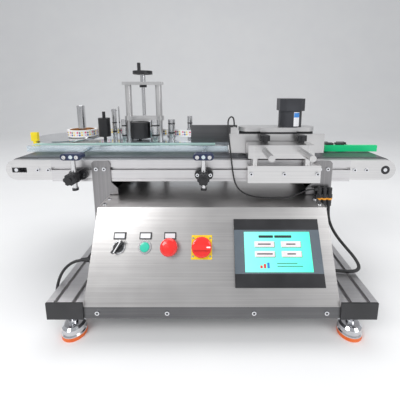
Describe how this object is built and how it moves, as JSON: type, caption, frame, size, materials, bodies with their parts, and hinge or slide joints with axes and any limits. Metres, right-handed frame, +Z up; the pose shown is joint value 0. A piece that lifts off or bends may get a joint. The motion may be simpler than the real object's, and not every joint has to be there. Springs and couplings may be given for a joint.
{
  "type": "bottle labelling machine",
  "caption": "Tabletop bottle labelling machine: belt conveyor with guides, wrap belt, label reel deck with rollers and press frame, sloped control cabinet on feet.",
  "frame": {"origin": "middle of the machine's footprint box, on the floor plane under the feet", "axes": "+X along the conveyor, the way the bottles travel; +Y to the back, away from the operator; +Z up"},
  "size_m": [1.116, 0.56, 0.648],
  "materials": {
    "stainless": "brushed",
    "mirror_steel": "polished",
    "aluminium_profile": "satin",
    "black_plastic": "matte",
    "dark_steel": "satin",
    "chrome_feet": "polished",
    "green_button": "gloss",
    "red_button": "gloss",
    "electronics": "matte",
    "belt_grey": "matte",
    "rubber_black": "matte",
    "roller_steel": "polished",
    "motor_silver": "satin",
    "green_strip": "matte",
    "wrap_foam": "matte",
    "sensor_housing": "matte",
    "yellow_sensor": "matte",
    "label_paper": "matte"
  },
  "bodies": {
    "frame": {"base_rails": "aluminium_profile", "bearing_blocks": "black_plastic", "cabinet_base_tray": "dark_steel", "cabinet_shell": "stainless", "cable_glands": "black_plastic", "clamp_block": "stainless", "control_electronics": "electronics", "control_harness": "rubber_black", "control_surrounds": "black_plastic", "conveyor_belt": "belt_grey", "conveyor_end_plates": "stainless", "conveyor_frame": "stainless", "conveyor_legs": "stainless", "deck_posts": "stainless", "deck_supports": "stainless", "drive_motors": "motor_silver", "frame_bolts": "stainless", "guide_brackets": "dark_steel", "hmi_panel": "black_plastic", "label_deck": "mirror_steel", "label_web": "label_paper", "mains_cord": "rubber_black", "mains_cord_coil": "rubber_black", "mains_plug": "rubber_black", "peel_plate": "dark_steel", "press_frame": "stainless", "rail_end_caps": "black_plastic", "reel_sensor": "yellow_sensor", "sensor_cable": "rubber_black", "wrap_stand": "stainless"},
    "foot_front_left": {"foot_front_left": "chrome_feet"},
    "foot_back_left": {"foot_back_left": "chrome_feet"},
    "foot_front_right": {"foot_front_right": "chrome_feet"},
    "foot_back_right": {"foot_back_right": "chrome_feet"},
    "drive_drum": {"drive_roller": "roller_steel"},
    "tail_drum": {"tail_roller": "roller_steel"},
    "selector": {"selector_knob": "black_plastic"},
    "start_button": {"green_button": "green_button"},
    "stop_button": {"estop_button": "red_button"},
    "isolator": {"isolator_knob": "red_button"},
    "knob_left": {"star_knob_left": "black_plastic"},
    "knob_right": {"star_knob_right": "black_plastic"},
    "wrap_unit": {"wrap_housing": "stainless", "wrap_motor": "motor_silver", "wrap_belt": "wrap_foam", "bottle_sensor": "sensor_housing"},
    "wrap_drive": {"wrap_drive_roller": "black_plastic"},
    "wrap_idler": {"wrap_idle_roller": "roller_steel"},
    "reel": {"reel_mandrel": "stainless", "label_roll": "label_paper"},
    "idler": {"black_idler": "black_plastic"},
    "traction": {"traction_roller": "rubber_black"},
    "pinch": {"pinch_roller": "roller_steel"},
    "ringed": {"ringed_roller": "roller_steel"},
    "wheel": {"handwheel": "black_plastic"},
    "press_crosshead": {"crosshead": "stainless"},
    "front_clamps": {"front_guide_clamps": "black_plastic"},
    "front_guide": {"front_guide_rail": "aluminium_profile"},
    "rear_guide": {"rear_guide_rail": "green_strip"},
    "exit_guide": {"exit_guide_rail": "green_strip"}
  },
  "joints": [
    {"name": "foot_front_left_turn", "type": "hinge", "parent": "frame", "child": "foot_front_left", "pos_m": [-0.2655, -0.248, 0.03], "axis": [0, 0, 1], "continuous": true},
    {"name": "foot_back_left_turn", "type": "hinge", "parent": "frame", "child": "foot_back_left", "pos_m": [-0.2655, 0.148, 0.03], "axis": [0, 0, 1], "continuous": true},
    {"name": "foot_front_right_turn", "type": "hinge", "parent": "frame", "child": "foot_front_right", "pos_m": [0.3765, -0.248, 0.03], "axis": [0, 0, 1], "continuous": true},
    {"name": "foot_back_right_turn", "type": "hinge", "parent": "frame", "child": "foot_back_right", "pos_m": [0.3765, 0.148, 0.03], "axis": [0, 0, 1], "continuous": true},
    {"name": "drive_drum_spin", "type": "hinge", "parent": "frame", "child": "drive_drum", "pos_m": [0.528, -0.013, 0.345], "axis": [0, 1, 0], "continuous": true},
    {"name": "tail_drum_spin", "type": "hinge", "parent": "frame", "child": "tail_drum", "pos_m": [-0.478, -0.013, 0.345], "axis": [0, 1, 0], "continuous": true},
    {"name": "selector_turn", "type": "hinge", "parent": "frame", "child": "selector", "pos_m": [-0.1625, -0.2142, 0.1966], "axis": [0, -0.8613, 0.5082], "range_deg": [0, 80]},
    {"name": "start_button_press", "type": "slide", "parent": "frame", "child": "start_button", "axis": [0, 0.8613, -0.5082], "range_m": [0, 0.004], "stiffness_N_per_m": 600, "springref_m": -0.002},
    {"name": "stop_button_press", "type": "slide", "parent": "frame", "child": "stop_button", "axis": [0, 0.8613, -0.5082], "range_m": [0, 0.005]},
    {"name": "isolator_turn", "type": "hinge", "parent": "frame", "child": "isolator", "pos_m": [0.0315, -0.2142, 0.1966], "axis": [0, -0.8613, 0.5082], "range_deg": [0, 90]},
    {"name": "star_knob_left_turn", "type": "hinge", "parent": "frame", "child": "knob_left", "pos_m": [0.2, -0.066, 0.42], "axis": [0, 0, 1], "range_deg": [-180, 180]},
    {"name": "star_knob_right_turn", "type": "hinge", "parent": "frame", "child": "knob_right", "pos_m": [0.3, -0.066, 0.42], "axis": [0, 0, 1], "range_deg": [-180, 180]},
    {"name": "wrap_unit_adjust", "type": "slide", "parent": "frame", "child": "wrap_unit", "axis": [0, 1, 0], "range_m": [-0.004, 0.035]},
    {"name": "wrap_drive_spin", "type": "hinge", "parent": "wrap_unit", "child": "wrap_drive", "pos_m": [0.3225, -0.0085, 0.42], "axis": [0, 0, 1], "continuous": true},
    {"name": "wrap_idler_spin", "type": "hinge", "parent": "wrap_unit", "child": "wrap_idler", "pos_m": [0.1615, -0.0085, 0.42], "axis": [0, 0, 1], "continuous": true},
    {"name": "reel_spin", "type": "hinge", "parent": "frame", "child": "reel", "pos_m": [-0.4025, 0.153, 0.42], "axis": [0, 0, 1], "continuous": true},
    {"name": "idler_spin", "type": "hinge", "parent": "frame", "child": "idler", "pos_m": [-0.3065, 0.11, 0.43], "axis": [0, 0, 1], "continuous": true},
    {"name": "traction_spin", "type": "hinge", "parent": "frame", "child": "traction", "pos_m": [-0.19, 0.118, 0.43], "axis": [0, 0, 1], "continuous": true},
    {"name": "pinch_spin", "type": "hinge", "parent": "frame", "child": "pinch", "pos_m": [-0.1479, 0.118, 0.43], "axis": [0, 0, 1], "continuous": true},
    {"name": "ringed_spin", "type": "hinge", "parent": "frame", "child": "ringed", "pos_m": [-0.1285, 0.078, 0.43], "axis": [0, 0, 1], "continuous": true},
    {"name": "handwheel_turn", "type": "hinge", "parent": "frame", "child": "wheel", "pos_m": [-0.1786, 0.143, 0.6], "axis": [0, 0, 1], "range_deg": [0, 2880]},
    {"name": "crosshead_travel", "type": "slide", "parent": "frame", "child": "press_crosshead", "axis": [0, 0, 1], "range_m": [0, 0.04]},
    {"name": "front_clamp_height", "type": "slide", "parent": "frame", "child": "front_clamps", "axis": [0, 0, 1], "range_m": [-0.005, 0.012]},
    {"name": "front_guide_adjust", "type": "slide", "parent": "front_clamps", "child": "front_guide", "axis": [0, 1, 0], "range_m": [-0.035, 0.012]},
    {"name": "rear_guide_adjust", "type": "slide", "parent": "frame", "child": "rear_guide", "axis": [0, 1, 0], "range_m": [-0.03, 0.003]},
    {"name": "exit_guide_adjust", "type": "slide", "parent": "frame", "child": "exit_guide", "axis": [0, 1, 0], "range_m": [-0.03, 0.03]}
  ],
  "couplings": [
    {"joint": "tail_drum_spin", "follows": "drive_drum_spin", "ratio": 1},
    {"joint": "wrap_idler_spin", "follows": "wrap_drive_spin", "ratio": 1},
    {"joint": "pinch_spin", "follows": "traction_spin", "ratio": -2.8},
    {"joint": "crosshead_travel", "follows": "handwheel_turn", "m_per_rad": 0.000795}
  ]
}
